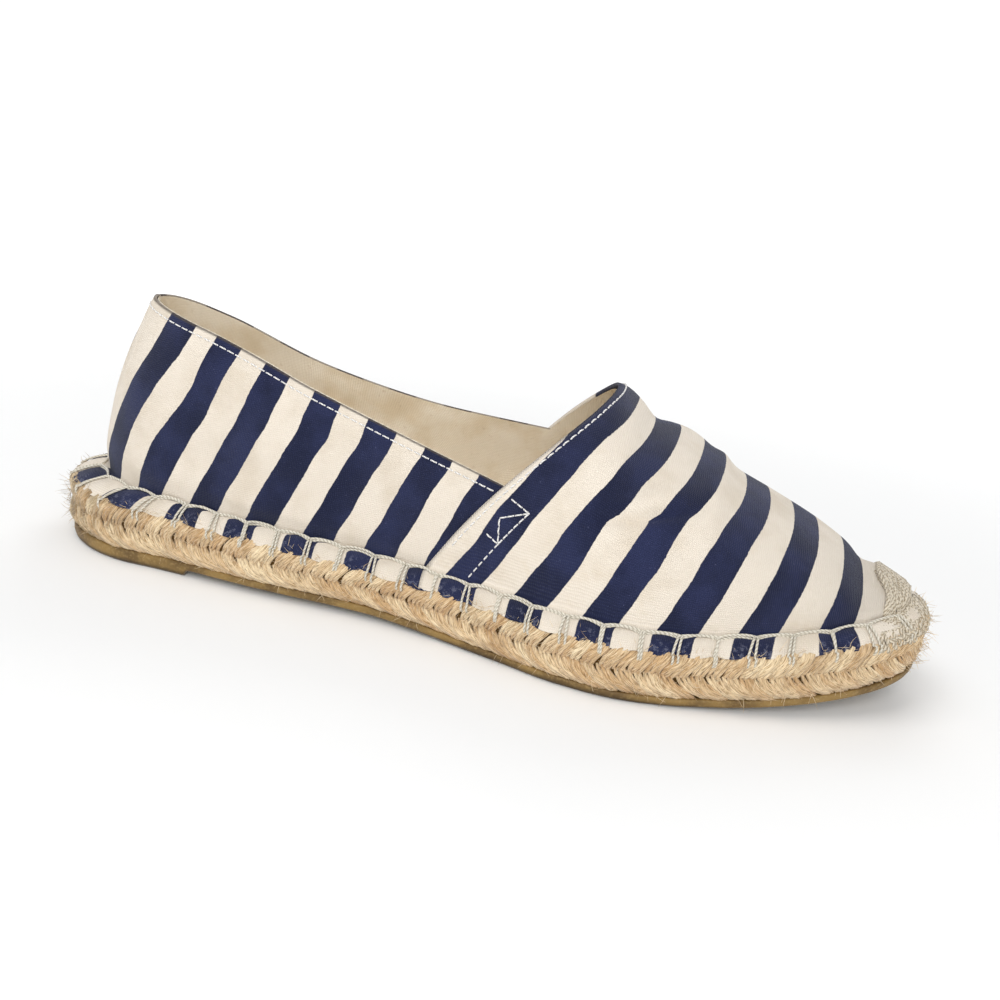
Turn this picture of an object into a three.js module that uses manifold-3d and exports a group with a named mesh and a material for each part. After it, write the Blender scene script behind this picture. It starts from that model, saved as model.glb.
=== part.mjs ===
// Espadrille for the left foot: a striped canvas upper sewn to a plaited jute sole,
// with a moulded rubber sheet and heel pad underneath.
// Millimetres. +X points to the toe, +Y to the wearer's outer side, +Z up.
import * as THREE from "three";
import { mergeVertices } from "three/addons/utils/BufferGeometryUtils.js";
import Module from "manifold-3d";

const wasm = await Module();
wasm.setup();

// Driving dimensions
const soleLength = 255;
const gap = 0.3;
const vampWall = 2.0;
const quarterWall = 1.3;
const insoleThickness = 2.5;
const insoleClearance = 0.4;
const capThickness = 1.5;
const capLength = 17;
const capTilt = 0.35;

// Rubber sheet, its arch and toe spring, and the heel pad moulded in one with it
const rubberThickness = 2.5;
const rubberInset = 1;
const rubberBevel = 1;
const archHeight = 1.8;
const archFrom = 100;
const archTo = 145;
const toeSpring = 10;
const toeSpringFrom = 178.5;
const heelPadLength = 50;
const heelPadOverlap = 0.8;

// Upper's place on the sole: the ledge left around it, and the flange sewn down on that ledge
const heelLedge = 11;
const toeLedge = 6;
const sideLedge = 5;
const flangeInset = 0.8;
const flangeThickness = 1.3;
const stitchRise = 3.8;
const seatRise = 2.2;
const shoulderInset = 0.9;
const skirtDrop = 4;

// Roundness of the outlines' ends and of the last's sections
const heelRounding = 0.13;
const soleToeRounding = 0.8;
const lastToeRounding = 0.76;
const heelFullness = 1.95;
const toeFullness = 2.25;
const sideFullness = 2.1;
const roofFullness = 2.5;
const leastRoof = 0.4;

// Back of the heel: leans forward with height and swells a little low down
const heelLean = 9.2;
const heelSwell = 1.4;
const heelReach = 0.35;
const heelMeasure = 45;

// Rows from heel to toe. along: distance from the back of the sole; half: half of the sole's
// width; centre: how far its middle lies to the outer side; edge: height of the jute's upper
// edge; roof: height of the last's ridge, which is above the collar behind the throat.
const sections = [
  { along: 0, half: 28.2, centre: 0, edge: 18.8, roof: 88 },
  { along: 33, half: 28.2, centre: 0, edge: 17.6, roof: 87 },
  { along: 71, half: 32, centre: 0.6, edge: 16.1, roof: 75 },
  { along: 107, half: 34.6, centre: 1.4, edge: 14.6, roof: 71.5 },
  { along: 125, half: 37.8, centre: 1.5, edge: 14.3, roof: 70.6 },
  { along: 143, half: 42, centre: 1, edge: 14.3, roof: 70 },
  { along: 162, half: 47.2, centre: 0.4, edge: 14.7, roof: 69.6 },
  { along: 175, half: 48.4, centre: 0, edge: 14.9, roof: 61.2 },
  { along: 190, half: 46.2, centre: -0.5, edge: 15.2, roof: 54.9 },
  { along: 205, half: 42, centre: -1.2, edge: 16.2, roof: 48.2 },
  { along: 218, half: 38.6, centre: -1.9, edge: 17.7, roof: 43.3 },
  { along: 236, half: 35, centre: -3.2, edge: 20.6, roof: 34.2 },
  { along: 250, half: 33, centre: -4.8, edge: 23.7, roof: 29.4 },
  { along: 256, half: 32.4, centre: -5.5, edge: 25.2, roof: 28.8 },
];

// Collar's height along the quarter, seen from the side. It stands a few millimetres higher on
// the inner side and is the same on both round the heel.
const innerCollar = [
  { along: 0, height: 77 },
  { along: 20, height: 75.5 },
  { along: 44, height: 71 },
  { along: 80, height: 59.6 },
  { along: 120, height: 49.3 },
  { along: 150, height: 43.4 },
];
const outerCollar = [
  { along: 0, height: 77 },
  { along: 20, height: 75.5 },
  { along: 40, height: 68.8 },
  { along: 70, height: 57.6 },
  { along: 100, height: 50.9 },
  { along: 120, height: 48.4 },
  { along: 150, height: 45.6 },
];

// Throat line: the vamp's rear edge from the sole's seam up to its peak, bowed a little back
const throatFoot = { along: 120.5, height: 18 };
const throatPeak = { along: 162.6, height: 69.8 };
const throatBow = 3.5;
const throatSteps = 14;
const collarSteps = 22;

// Fineness of the faceted surfaces
const stationCount = 40;
const arcSteps = 11;

// Slope of a column at a row, kept monotone between its neighbours.
function slopeAt(rows, column, i) {
  const before = Math.max(i - 1, 0);
  const after = Math.min(i + 1, rows.length - 1);
  if (before === i || after === i) {
    return (rows[after][column] - rows[before][column]) / (rows[after].along - rows[before].along);
  }
  const reachIn = rows[i].along - rows[before].along;
  const reachOut = rows[after].along - rows[i].along;
  const slopeIn = (rows[i][column] - rows[before][column]) / reachIn;
  const slopeOut = (rows[after][column] - rows[i][column]) / reachOut;
  if (slopeIn * slopeOut <= 0) {
    return 0;
  }
  const weightIn = 2 * reachOut + reachIn;
  const weightOut = reachOut + 2 * reachIn;
  return (weightIn + weightOut) / (weightIn / slopeIn + weightOut / slopeOut);
}

// Smooth value of a column at any distance along the shoe.
function valueAt(rows, column, along) {
  const place = THREE.MathUtils.clamp(along, rows[0].along, rows[rows.length - 1].along);
  let i = 0;
  while (i < rows.length - 2 && rows[i + 1].along < place) {
    i += 1;
  }
  const reach = rows[i + 1].along - rows[i].along;
  const t = (place - rows[i].along) / reach;
  const start = rows[i][column];
  const end = rows[i + 1][column];
  const hermiteEnd = t * t * (3 - 2 * t);
  const slopes = slopeAt(rows, column, i) * t * (1 - t) ** 2 - slopeAt(rows, column, i + 1) * t * t * (1 - t);
  return start * (1 - hermiteEnd) + end * hermiteEnd + slopes * reach;
}

// Underside of the rubber sheet: raised from the heel to the arch, flat under the ball, up at the toe.
function sheetUnderside(along) {
  const spring = Math.max(0, (along - toeSpringFrom) / (soleLength - toeSpringFrom));
  const arch = 1 - THREE.MathUtils.smoothstep(along, archFrom, archTo);
  return archHeight * arch + toeSpring * spring * spring;
}

function sheetTop(along) {
  return sheetUnderside(along) + rubberThickness;
}

function edgeHeight(along) {
  return valueAt(sections, "edge", along);
}

function seatHeight(along) {
  return edgeHeight(along) + seatRise;
}

// Narrows an outline to nothing at its two tips, in full round ends.
function endRounding(t, toeFrom) {
  const heel = Math.max(0, 1 - t / heelRounding);
  const toe = Math.max(0, (t - toeFrom) / (1 - toeFrom));
  const heelPart = (1 - heel ** heelFullness) ** (1 / heelFullness);
  const toePart = Math.max(0, 1 - toe ** toeFullness) ** (1 / toeFullness);
  return heelPart * toePart;
}

// Half width and place of the sole's outline, drawn in by inset, at a share t of its length.
function soleOutline(inset) {
  return (t) => {
    const along = inset + t * (soleLength - 2 * inset);
    const half = (valueAt(sections, "half", along) - inset) * endRounding(t, soleToeRounding);
    return { along, half };
  };
}

// The same for the last's base, where the upper meets its flange, moved out by grow.
function lastOutline(grow) {
  const start = heelLedge - grow;
  const end = soleLength - toeLedge + grow;
  return (t) => {
    const along = start + t * (end - start);
    const width = valueAt(sections, "half", along) - sideLedge + grow;
    return { along, half: width * endRounding(t, lastToeRounding) };
  };
}

const stations = Array.from(
  { length: stationCount + 1 },
  (_, i) => (1 - Math.cos((Math.PI * i) / stationCount)) / 2,
);

// Closed ring of points: from the heel along the inner side to the toe, back along the outer side.
function ringOf(pointAt) {
  const innerSide = stations.map((t) => pointAt(t, -1));
  const outerSide = stations.slice(1, -1).reverse().map((t) => pointAt(t, 1));
  return [...innerSide, ...outerSide];
}

function outlineRing(outline, heightAt) {
  return ringOf((t, side) => {
    const { along, half } = outline(t);
    const centre = valueAt(sections, "centre", along);
    return new THREE.Vector3(along, centre + side * half, heightAt(along));
  });
}

// Ring of the last's surface at an angle around its sections, 0 at the base and a right angle on the ridge.
function lastRing(grow, angle) {
  const outline = lastOutline(grow);
  const rise = Math.sin(angle) ** (2 / roofFullness);
  const spread = Math.max(0, Math.cos(angle)) ** (2 / sideFullness);
  return ringOf((t, side) => {
    const { along, half } = outline(t);
    const base = edgeHeight(along) + stitchRise;
    const roof = Math.max(valueAt(sections, "roof", along) + grow, base + leastRoof);
    const height = (roof - base) * rise;
    const share = height / heelMeasure;
    const fade = Math.max(0, 1 - t / heelReach) ** 1.5;
    const lean = heelLean * share * share - heelSwell * Math.sin(Math.PI * Math.min(share, 1));
    const centre = valueAt(sections, "centre", along);
    return new THREE.Vector3(along + fade * lean, centre + side * half * spread, base + height);
  });
}

// Turns a closed geometry into a solid that can be joined and cut.
function toSolid(geometry) {
  const bare = geometry.clone();
  bare.deleteAttribute("normal");
  bare.deleteAttribute("uv");
  const merged = mergeVertices(bare, 1e-4);
  const corners = merged.index.array;
  const triVerts = [];
  for (let i = 0; i < corners.length; i += 3) {
    const [a, b, c] = [corners[i], corners[i + 1], corners[i + 2]];
    if (a !== b && b !== c && c !== a) {
      triVerts.push(a, b, c);
    }
  }
  const vertProperties = new Float32Array(merged.attributes.position.array);
  const mesh = new wasm.Mesh({ numProp: 3, vertProperties, triVerts: new Uint32Array(triVerts) });
  return new wasm.Manifold(mesh);
}

// Solid through a stack of rings from the lowest up, closed across its first and last ring.
function solidThrough(rings) {
  const count = rings[0].length;
  const positions = rings.flatMap((ring) => ring.flatMap((point) => point.toArray()));
  const index = [];
  for (let level = 0; level < rings.length - 1; level += 1) {
    for (let i = 0; i < count; i += 1) {
      const next = (i + 1) % count;
      const low = level * count;
      const high = low + count;
      index.push(low + i, low + next, high + next, low + i, high + next, high + i);
    }
  }
  const top = (rings.length - 1) * count;
  for (let i = 0; i < stationCount; i += 1) {
    const across = (count - i) % count;
    const nextAcross = count - i - 1;
    index.push(i, across, nextAcross, i, nextAcross, i + 1);
    index.push(top + i, top + nextAcross, top + across, top + i, top + i + 1, top + nextAcross);
  }
  const geometry = new THREE.BufferGeometry();
  geometry.setAttribute("position", new THREE.Float32BufferAttribute(positions, 3));
  geometry.setIndex(index);
  return toSolid(geometry);
}

function lastRings(grow) {
  return Array.from({ length: arcSteps + 1 }, (_, i) => lastRing(grow, (Math.PI / 2) * (i / arcSteps)));
}

// The last with its flange: everything inside the upper's outer face, moved out by grow.
function flangedLast(grow) {
  const outline = soleOutline(flangeInset - grow);
  const skirt = outlineRing(outline, (along) => edgeHeight(along) - skirtDrop);
  const lip = outlineRing(outline, (along) => edgeHeight(along) + flangeThickness);
  return solidThrough([skirt, lip, ...lastRings(grow)]);
}

// The last without the flange, carried straight down through the seat.
function plainLast(grow) {
  const foot = outlineRing(lastOutline(grow), (along) => edgeHeight(along) - skirtDrop);
  return solidThrough([foot, ...lastRings(grow)]);
}

// Everything below the upper and the toe cap: the jute's shoulder and seat, a gap higher.
function shoulderForm() {
  const outer = soleOutline(-2 * skirtDrop);
  return solidThrough([
    outlineRing(outer, (along) => edgeHeight(along) - 2 * skirtDrop),
    outlineRing(outer, edgeHeight),
    outlineRing(soleOutline(shoulderInset), edgeHeight),
    outlineRing(lastOutline(-vampWall), (along) => seatHeight(along) + gap),
  ]);
}

function throatPoint(share) {
  const along = THREE.MathUtils.lerp(throatFoot.along, throatPeak.along, share);
  const bow = throatBow * Math.sin(Math.PI * THREE.MathUtils.clamp(share, 0, 1));
  return new THREE.Vector2(along - bow, THREE.MathUtils.lerp(throatFoot.height, throatPeak.height, share));
}

// Straight cut with the given side view, from one place across the shoe to another.
const cutWidth = 160;
const cutReach = 60;
const cutHeight = 150;
function crossCut(points, from = -cutWidth / 2, to = cutWidth / 2) {
  const geometry = new THREE.ExtrudeGeometry(new THREE.Shape(points), { depth: to - from, bevelEnabled: false });
  geometry.rotateX(Math.PI / 2);
  geometry.translate(0, to, 0);
  return toSolid(geometry);
}

// Throat line from where the collar runs under it, or from the sole, up past its peak.
function throatLine(fromShare) {
  const line = [];
  for (let i = 0; i <= throatSteps; i += 1) {
    line.push(throatPoint(fromShare + (1 - fromShare) * (i / throatSteps)));
  }
  const rise = (throatPeak.height - throatFoot.height) / (throatPeak.along - throatFoot.along);
  const past = (cutHeight - throatPeak.height) / rise;
  line.push(new THREE.Vector2(throatPeak.along + past, cutHeight));
  return line;
}

// Share of the throat line at which it crosses a collar.
function throatCrossing(collar) {
  let share = 0;
  while (throatPoint(share).y < valueAt(collar, "height", throatPoint(share).x)) {
    share += 0.001;
  }
  return share;
}

// Region above a collar and behind the throat, where the foot goes in.
function openingCut(collar, from, to) {
  const crossing = throatCrossing(collar);
  const meeting = throatPoint(crossing);
  const points = [new THREE.Vector2(-cutReach, cutHeight), new THREE.Vector2(-cutReach, collar[0].height)];
  for (let i = 0; i < collarSteps; i += 1) {
    const along = (meeting.x * i) / collarSteps;
    points.push(new THREE.Vector2(along, valueAt(collar, "height", along)));
  }
  return crossCut([...points, ...throatLine(crossing)], from, to);
}

// Region ahead of the throat line, from the sole up, which the vamp covers.
function vampRegion() {
  const ahead = soleLength + cutReach;
  const points = [new THREE.Vector2(throatFoot.along - throatBow, -cutReach), ...throatLine(0)];
  return crossCut([...points.reverse(), new THREE.Vector2(ahead, -cutReach), new THREE.Vector2(ahead, cutHeight)]);
}

// Node with its own material.
function node(name, solid, color, roughness) {
  const mesh = solid.getMesh();
  const geometry = new THREE.BufferGeometry();
  geometry.setAttribute("position", new THREE.Float32BufferAttribute(mesh.vertProperties, 3));
  geometry.setIndex(Array.from(mesh.triVerts));
  geometry.computeVertexNormals();
  const result = new THREE.Mesh(geometry, new THREE.MeshStandardMaterial({ color, roughness, metalness: 0 }));
  result.name = name;
  return result;
}

// Rubber outsole: bevelled sheet and a heel pad of the same outline, cut straight at its front.
function makeOutsole() {
  const tread = soleOutline(rubberInset + rubberBevel);
  const wall = soleOutline(rubberInset);
  const sheet = solidThrough([
    outlineRing(tread, sheetUnderside),
    outlineRing(wall, (along) => sheetUnderside(along) + rubberBevel),
    outlineRing(wall, sheetTop),
  ]);
  const pad = solidThrough([
    outlineRing(tread, () => 0),
    outlineRing(wall, () => rubberBevel),
    outlineRing(wall, () => archHeight + heelPadOverlap),
  ]);
  const heelPart = new THREE.BoxGeometry(2 * heelPadLength, cutWidth, cutWidth);
  return node("outsole", sheet.add(pad.intersect(toSolid(heelPart))), 0x9a7448, 0.75);
}

// Plaited jute sole: a flat underside, bulging side, sloping shoulder and a flat seat.
function makeJuteSole() {
  const low = (along) => sheetTop(along) + gap;
  const between = (share) => (along) => THREE.MathUtils.lerp(low(along), edgeHeight(along), share);
  return node("jute_sole", solidThrough([
    outlineRing(soleOutline(1.4), low),
    outlineRing(soleOutline(0.4), between(0.2)),
    outlineRing(soleOutline(0), between(0.5)),
    outlineRing(soleOutline(0.3), between(0.8)),
    outlineRing(soleOutline(shoulderInset), (along) => edgeHeight(along) - gap),
    outlineRing(lastOutline(-vampWall), seatHeight),
  ]), 0xd9bd8a, 0.95);
}

// Insole: a flat pad on the seat, trimmed to the room inside the upper.
function makeInsole() {
  const outline = lastOutline(-vampWall - insoleClearance);
  const pad = solidThrough([
    outlineRing(outline, (along) => seatHeight(along) + gap),
    outlineRing(outline, (along) => seatHeight(along) + gap + insoleThickness),
  ]);
  return node("insole", pad.intersect(plainLast(-vampWall - insoleClearance)), 0xdcc9a8, 0.9);
}

// Upper: quarter and vamp in one hollow wall. The vamp lies over the quarter at both side seams.
function makeUpper() {
  const quarter = flangedLast(quarterWall - vampWall);
  const vamp = flangedLast(0).intersect(vampRegion());
  const hollow = plainLast(-vampWall);
  const innerOpening = openingCut(innerCollar, -cutWidth / 2, 1);
  const outerOpening = openingCut(outerCollar, -1, cutWidth / 2);
  const opening = innerOpening.add(outerOpening);
  const upper = quarter.add(vamp).subtract(hollow).subtract(shoulderForm()).subtract(opening);
  return node("upper", upper, 0xe9dfcf, 0.9);
}

// Toe cap: darned guard over the tip of the vamp, between two larger forms of the last.
function makeToeCap() {
  const region = new THREE.BoxGeometry(cutWidth, cutWidth, cutWidth);
  region.rotateY(-capTilt);
  const tip = soleLength - capLength + cutWidth / 2 / Math.cos(capTilt);
  region.translate(tip, 0, edgeHeight(soleLength));
  const shell = flangedLast(gap + capThickness).subtract(flangedLast(gap));
  return node("toe_cap", shell.intersect(toSolid(region)).subtract(shoulderForm()), 0xe2d6bf, 0.95);
}

// The shoe stands with the middle of its box over the origin.
const espadrille = new THREE.Group();
espadrille.add(makeOutsole(), makeJuteSole(), makeInsole(), makeUpper(), makeToeCap());
const middle = new THREE.Box3().setFromObject(espadrille).getCenter(new THREE.Vector3());
espadrille.position.set(-middle.x, -middle.y, 0);

export default espadrille;
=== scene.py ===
import math
import random
from bisect import bisect_right
from itertools import accumulate

import bmesh
import bpy
from mathutils import Matrix, Vector, noise


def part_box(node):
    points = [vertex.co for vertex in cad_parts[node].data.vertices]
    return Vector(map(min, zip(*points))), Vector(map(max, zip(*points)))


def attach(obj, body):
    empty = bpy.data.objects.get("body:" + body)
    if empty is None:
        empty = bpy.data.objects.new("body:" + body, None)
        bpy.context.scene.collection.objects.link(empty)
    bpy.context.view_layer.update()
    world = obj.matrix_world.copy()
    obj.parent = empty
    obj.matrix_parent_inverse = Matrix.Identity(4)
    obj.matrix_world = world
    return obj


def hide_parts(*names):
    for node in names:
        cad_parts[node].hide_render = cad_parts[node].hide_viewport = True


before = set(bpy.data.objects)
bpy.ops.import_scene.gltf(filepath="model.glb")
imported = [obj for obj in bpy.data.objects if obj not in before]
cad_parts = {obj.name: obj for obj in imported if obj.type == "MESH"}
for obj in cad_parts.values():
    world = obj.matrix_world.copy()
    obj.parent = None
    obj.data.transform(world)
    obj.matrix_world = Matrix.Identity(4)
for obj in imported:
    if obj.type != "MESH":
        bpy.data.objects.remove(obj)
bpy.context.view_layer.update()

# --- Camera ---------------------------------------------------------------------------------
# Close to the shoe on its inner side, a little above it and ahead of it, and tipped a few
# degrees, so that the sole falls from left to right as in the photo.
mm = 0.001
camera_azimuth = math.radians(11.1)
camera_elevation = math.radians(18.75)
camera_tip = math.radians(6.95)
camera_distance = 325 * mm
lens_length = 40
sensor_width = 36
shoe_middle = Vector((-0.5, 0, 30)) * mm
aim_shift = 6.1 * mm

flat_right = Vector((math.cos(camera_azimuth), math.sin(camera_azimuth), 0))
away = Vector((0, -1, 0))
away.rotate(Matrix.Rotation(camera_azimuth, 3, "Z"))
towards_camera = away * math.cos(camera_elevation) + Vector((0, 0, 1)) * math.sin(camera_elevation)
tipped_right = flat_right.copy()
tipped_right.rotate(Matrix.Rotation(camera_tip, 3, towards_camera))
eye = shoe_middle + towards_camera * camera_distance
backward = (eye - shoe_middle - tipped_right * aim_shift).normalized()
rightward = (tipped_right - backward * tipped_right.dot(backward)).normalized()
upward = backward.cross(rightward)
camera = bpy.data.objects.new("camera", bpy.data.cameras.new("camera"))
camera.matrix_world = Matrix.Translation(eye) @ Matrix((rightward, upward, backward)).transposed().to_4x4()
camera.data.lens = lens_length
camera.data.sensor_width = sensor_width
camera.data.clip_start = 0.01
bpy.context.scene.collection.objects.link(camera)
bpy.context.scene.camera = camera

# --- Outsole --------------------------------------------------------------------------------
# A thin sheet of gum rubber with a heel pad, moulded in one piece and vulcanised to the jute.
# It stops a millimetre short of the rope and curls up under the toe.
sole_length = 255
rubber_thickness = 2.5
arch_height = 1.8
arch_from = 100
arch_to = 145
toe_spring = 10
toe_spring_from = 178.5
heel_pad_length = 50
heel_pad_step = 1.2
heel_rounding = 0.13
sole_toe_rounding = 0.8
heel_fullness = 1.95
toe_fullness = 2.25

# along, half of the sole's width, its middle's place to the outer side, height of the jute's
# upper edge, height of the last's ridge
sections = (
    (0, 28.2, 0, 18.8, 88),
    (33, 28.2, 0, 17.6, 87),
    (71, 32, 0.6, 16.1, 75),
    (107, 34.6, 1.4, 14.6, 71.5),
    (125, 37.8, 1.5, 14.3, 70.6),
    (143, 42, 1, 14.3, 70),
    (162, 47.2, 0.4, 14.7, 69.6),
    (175, 48.4, 0, 14.9, 61.2),
    (190, 46.2, -0.5, 15.2, 54.9),
    (205, 42, -1.2, 16.2, 48.2),
    (218, 38.6, -1.9, 17.7, 43.3),
    (236, 35, -3.2, 20.6, 34.2),
    (250, 33, -4.8, 23.7, 29.4),
    (256, 32.4, -5.5, 25.2, 28.8),
)
INNER = -1
OUTER = 1


def smooth_curve(stations, values):
    """A smooth line through the values that never overshoots them."""
    reaches = [b - a for a, b in zip(stations, stations[1:])]
    rises = [(b - a) / reach for a, b, reach in zip(values, values[1:], reaches)]
    slopes = [rises[0]]
    for before, after, reach_in, reach_out in zip(rises, rises[1:], reaches, reaches[1:]):
        if before * after <= 0:
            slopes.append(0.0)
            continue
        weight_in = 2 * reach_out + reach_in
        weight_out = reach_out + 2 * reach_in
        slopes.append((weight_in + weight_out) / (weight_in / before + weight_out / after))
    slopes.append(rises[-1])

    def value_at(place):
        place = min(max(place, stations[0]), stations[-1])
        i = min(bisect_right(stations, place), len(reaches)) - 1
        t = (place - stations[i]) / reaches[i]
        end = t * t * (3 - 2 * t)
        bend = slopes[i] * t * (1 - t) ** 2 - slopes[i + 1] * t * t * (1 - t)
        return values[i] * (1 - end) + values[i + 1] * end + bend * reaches[i]

    return value_at


section_places, half_widths, middles, edge_heights, roof_heights = zip(*sections)
half_at = smooth_curve(section_places, half_widths)
middle_at = smooth_curve(section_places, middles)
edge_at = smooth_curve(section_places, edge_heights)
roof_at = smooth_curve(section_places, roof_heights)


def between(places, values, place):
    """Straight-line reading of a value at a place in a rising list of places."""
    i = min(max(bisect_right(places, place), 1), len(places) - 1)
    t = (place - places[i - 1]) / (places[i] - places[i - 1])
    return values[i - 1] + (values[i] - values[i - 1]) * min(max(t, 0), 1)


def smoothstep(low, high, value):
    t = min(max((value - low) / (high - low), 0), 1)
    return t * t * (3 - 2 * t)


def underside_at(along):
    spring = max(0, (along - toe_spring_from) / (sole_length - toe_spring_from))
    return arch_height * (1 - smoothstep(arch_from, arch_to, along)) + toe_spring * spring * spring


def end_rounding(t, toe_from):
    """Narrows an outline to nothing at its two tips."""
    heel = max(0, 1 - t / heel_rounding)
    toe = min(max(0, (t - toe_from) / (1 - toe_from)), 1)
    return (1 - heel**heel_fullness) ** (1 / heel_fullness) * (1 - toe**toe_fullness) ** (1 / toe_fullness)


def sole_outline(t, inset=0):
    """Place along the shoe and half width of the sole's outline, at a share t of its length."""
    along = inset + t * (sole_length - 2 * inset)
    return along, (half_at(along) - inset) * end_rounding(t, sole_toe_rounding)


def arcs_of(outline_at, side, steps=500):
    """Shares t along one side of an outline, and the distance walked from the heel's tip to each."""
    shares = [(1 - math.cos(math.pi * i / steps)) / 2 for i in range(steps + 1)]
    spots = []
    for t in shares:
        along, half = outline_at(t)
        spots.append(Vector((along, middle_at(along) + side * half)))
    return shares, list(accumulate(((b - a).length for a, b in zip(spots, spots[1:])), initial=0))


sole_arcs = {side: arcs_of(sole_outline, side) for side in (INNER, OUTER)}


def sole_spot(walk):
    """Point of the sole's outline after a walk from the heel's tip, negative on the inner side."""
    side = INNER if walk < 0 else OUTER
    shares, arcs = sole_arcs[side]
    along, half = sole_outline(between(arcs, shares, abs(walk)))
    return Vector((along, middle_at(along) + side * half))


def sole_edge(walk):
    """The same point with the direction that faces away from the shoe there."""
    stride = 0.4
    onward = sole_spot(walk + stride) - sole_spot(walk - stride)
    return sole_spot(walk), Vector((-onward.y, onward.x)).normalized()


heel_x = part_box("jute_sole")[0].x


def to_frame(along, y, z):
    return Vector((heel_x + along * mm, y * mm, z * mm))


def sheet_form(columns, rows, point_at, form=None):
    """A grid of faces put at point_at(u, v), which also gives each point's place on the flat
    cloth or rubber in millimetres."""
    form = form or bmesh.new()
    texture = form.loops.layers.uv.get("flat") or form.loops.layers.uv.new("flat")
    flat = {}
    for vert in bmesh.ops.create_grid(form, x_segments=columns, y_segments=rows, size=1)["verts"]:
        u, v = (vert.co.x + 1) / 2, (vert.co.y + 1) / 2
        vert.co, flat[vert] = point_at(u, v)
    for vert, place in flat.items():
        for loop in vert.link_loops:
            loop[texture].uv = place
    return form


def to_piece(form, name, material):
    """A smooth-shaded object of the form, riding on the shoe."""
    mesh = bpy.data.meshes.new(name)
    form.to_mesh(mesh)
    form.free()
    mesh.shade_smooth()
    mesh.materials.append(material)
    piece = bpy.data.objects.new(name, mesh)
    bpy.context.scene.collection.objects.link(piece)
    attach(piece, "root")
    return piece


def linear(colour):
    """Linear colour of a six-digit sRGB hex code."""
    shades = [int(colour[i : i + 2], 16) / 255 for i in (1, 3, 5)]
    return [c / 12.92 if c <= 0.04045 else ((c + 0.055) / 1.055) ** 2.4 for c in shades] + [1]


def new_material(name, roughness, **constants):
    """A material with its shader, whose constants are set straight on the sockets."""
    material = bpy.data.materials.new(name)
    material.use_nodes = True
    shader = material.node_tree.nodes["Principled BSDF"]
    shader.inputs["Roughness"].default_value = roughness
    for socket, value in constants.items():
        shader.inputs[socket.replace("_", " ")].default_value = value
    return material, material.node_tree, shader


def add(tree, kind, inputs, output=0, **settings):
    """Adds a node with its settings, links or values for its inputs, and gives one output."""
    made = tree.nodes.new(kind)
    for name, value in settings.items():
        setattr(made, name, value)
    for socket, value in inputs.items():
        if isinstance(value, bpy.types.NodeSocket):
            tree.links.new(value, made.inputs[socket])
        else:
            made.inputs[socket].default_value = value
    return made.outputs[output]


def mix(tree, share, first, second, blend="MIX"):
    """Mixes two colours, given as outputs or hex codes, by a share."""
    first, second = [linear(c) if isinstance(c, str) else c for c in (first, second)]
    inputs = {"Factor": share, 6: first, 7: second}
    return add(tree, "ShaderNodeMix", inputs, 2, data_type="RGBA", blend_type=blend)


def ramp(tree, value, low, high, to_low=0.0, to_high=1.0):
    inputs = {"Value": value, "From Min": low, "From Max": high, "To Min": to_low, "To Max": to_high}
    return add(tree, "ShaderNodeMapRange", inputs, interpolation_type="SMOOTHSTEP")


def speckle(tree, place, size, detail=3.0, roughness=0.55):
    """Noise with spots of about a size in metres."""
    inputs = {"Vector": place, "Scale": 1 / size, "Detail": detail, "Roughness": roughness}
    return add(tree, "ShaderNodeTexNoise", inputs)


def finish_bump(tree, shader, height, depth, strength=1.0):
    """Bump of a depth in metres from a height between 0 and 1."""
    inputs = {"Height": height, "Distance": depth, "Strength": strength}
    tree.links.new(add(tree, "ShaderNodeBump", inputs), shader.inputs["Normal"])


# levels of the sheet from its tread to its top: inset from the outline, share of its thickness
sheet_levels = ((24, 0), (6, 0), (2, 0), (1.35, 0.16), (1, 0.42), (1, 0.72), (1, 0.98), (1.6, 1), (24, 1))


def rubber_at(along, share, lift_to_pad=0.0):
    low = underside_at(along) * (1 - lift_to_pad)
    return low + (underside_at(along) + rubber_thickness - low) * share


def outsole_point(u, v):
    """Point of the sheet. Known fault: both sides are walked over the inner side's length, so the
    outer one, which is longer, stops 5 mm short and leaves a slit at the tip of the toe."""
    inset, share = sheet_levels[round(v * (len(sheet_levels) - 1))]
    half_round = sole_arcs[INNER][1][-1] * (1 - 1e-4)
    walk = (2 * u - 1) * half_round
    spot, outward = sole_edge(walk)
    if inset > 6:
        spot = Vector((min(max(spot.x, inset), sole_length - inset), middle_at(spot.x)))
    else:
        spot = spot - outward * inset
    pad = 1 - smoothstep(heel_pad_length - heel_pad_step, heel_pad_length, spot.x)
    z = rubber_at(spot.x, share, pad)
    return to_frame(spot.x, spot.y, z), (walk, v * 30)


outsole_form = sheet_form(720, len(sheet_levels) - 1, outsole_point)
bmesh.ops.remove_doubles(outsole_form, verts=outsole_form.verts, dist=0.02 * mm)
bmesh.ops.recalc_face_normals(outsole_form, faces=outsole_form.faces)


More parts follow.
